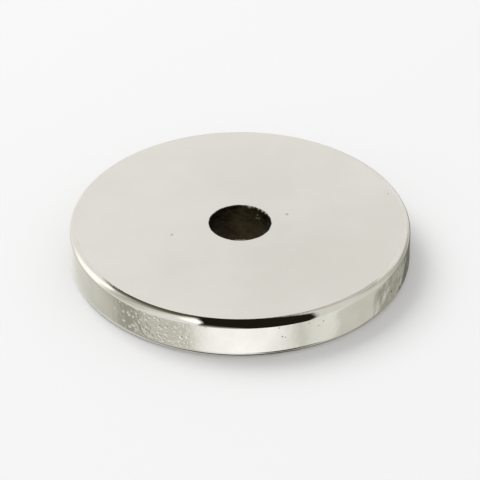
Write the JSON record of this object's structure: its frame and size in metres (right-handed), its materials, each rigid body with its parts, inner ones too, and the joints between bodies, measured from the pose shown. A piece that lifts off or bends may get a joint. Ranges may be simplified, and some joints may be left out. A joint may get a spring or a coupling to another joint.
{
  "type": "ring magnet",
  "caption": "Flat nickel-plated ring magnet with a small central bore, flat pole faces and rounded edges, for holding, sensing or sliding on a rod.",
  "frame": {"origin": "centre of the lower pole face, on the ring's axis", "axes": "+Z along the ring's axis, up through the upper pole face; X and Y lie in the lower pole face, and the ring is the same all the way round"},
  "size_m": [0.0226, 0.0224, 0.0028],
  "materials": {
    "nickel_plating": "bright tumbled nickel plating, mirror-like on the rim and even on the ground pole faces"
  },
  "bodies": {
    "root": {"ring_magnet": "nickel_plating"}
  },
  "joints": []
}
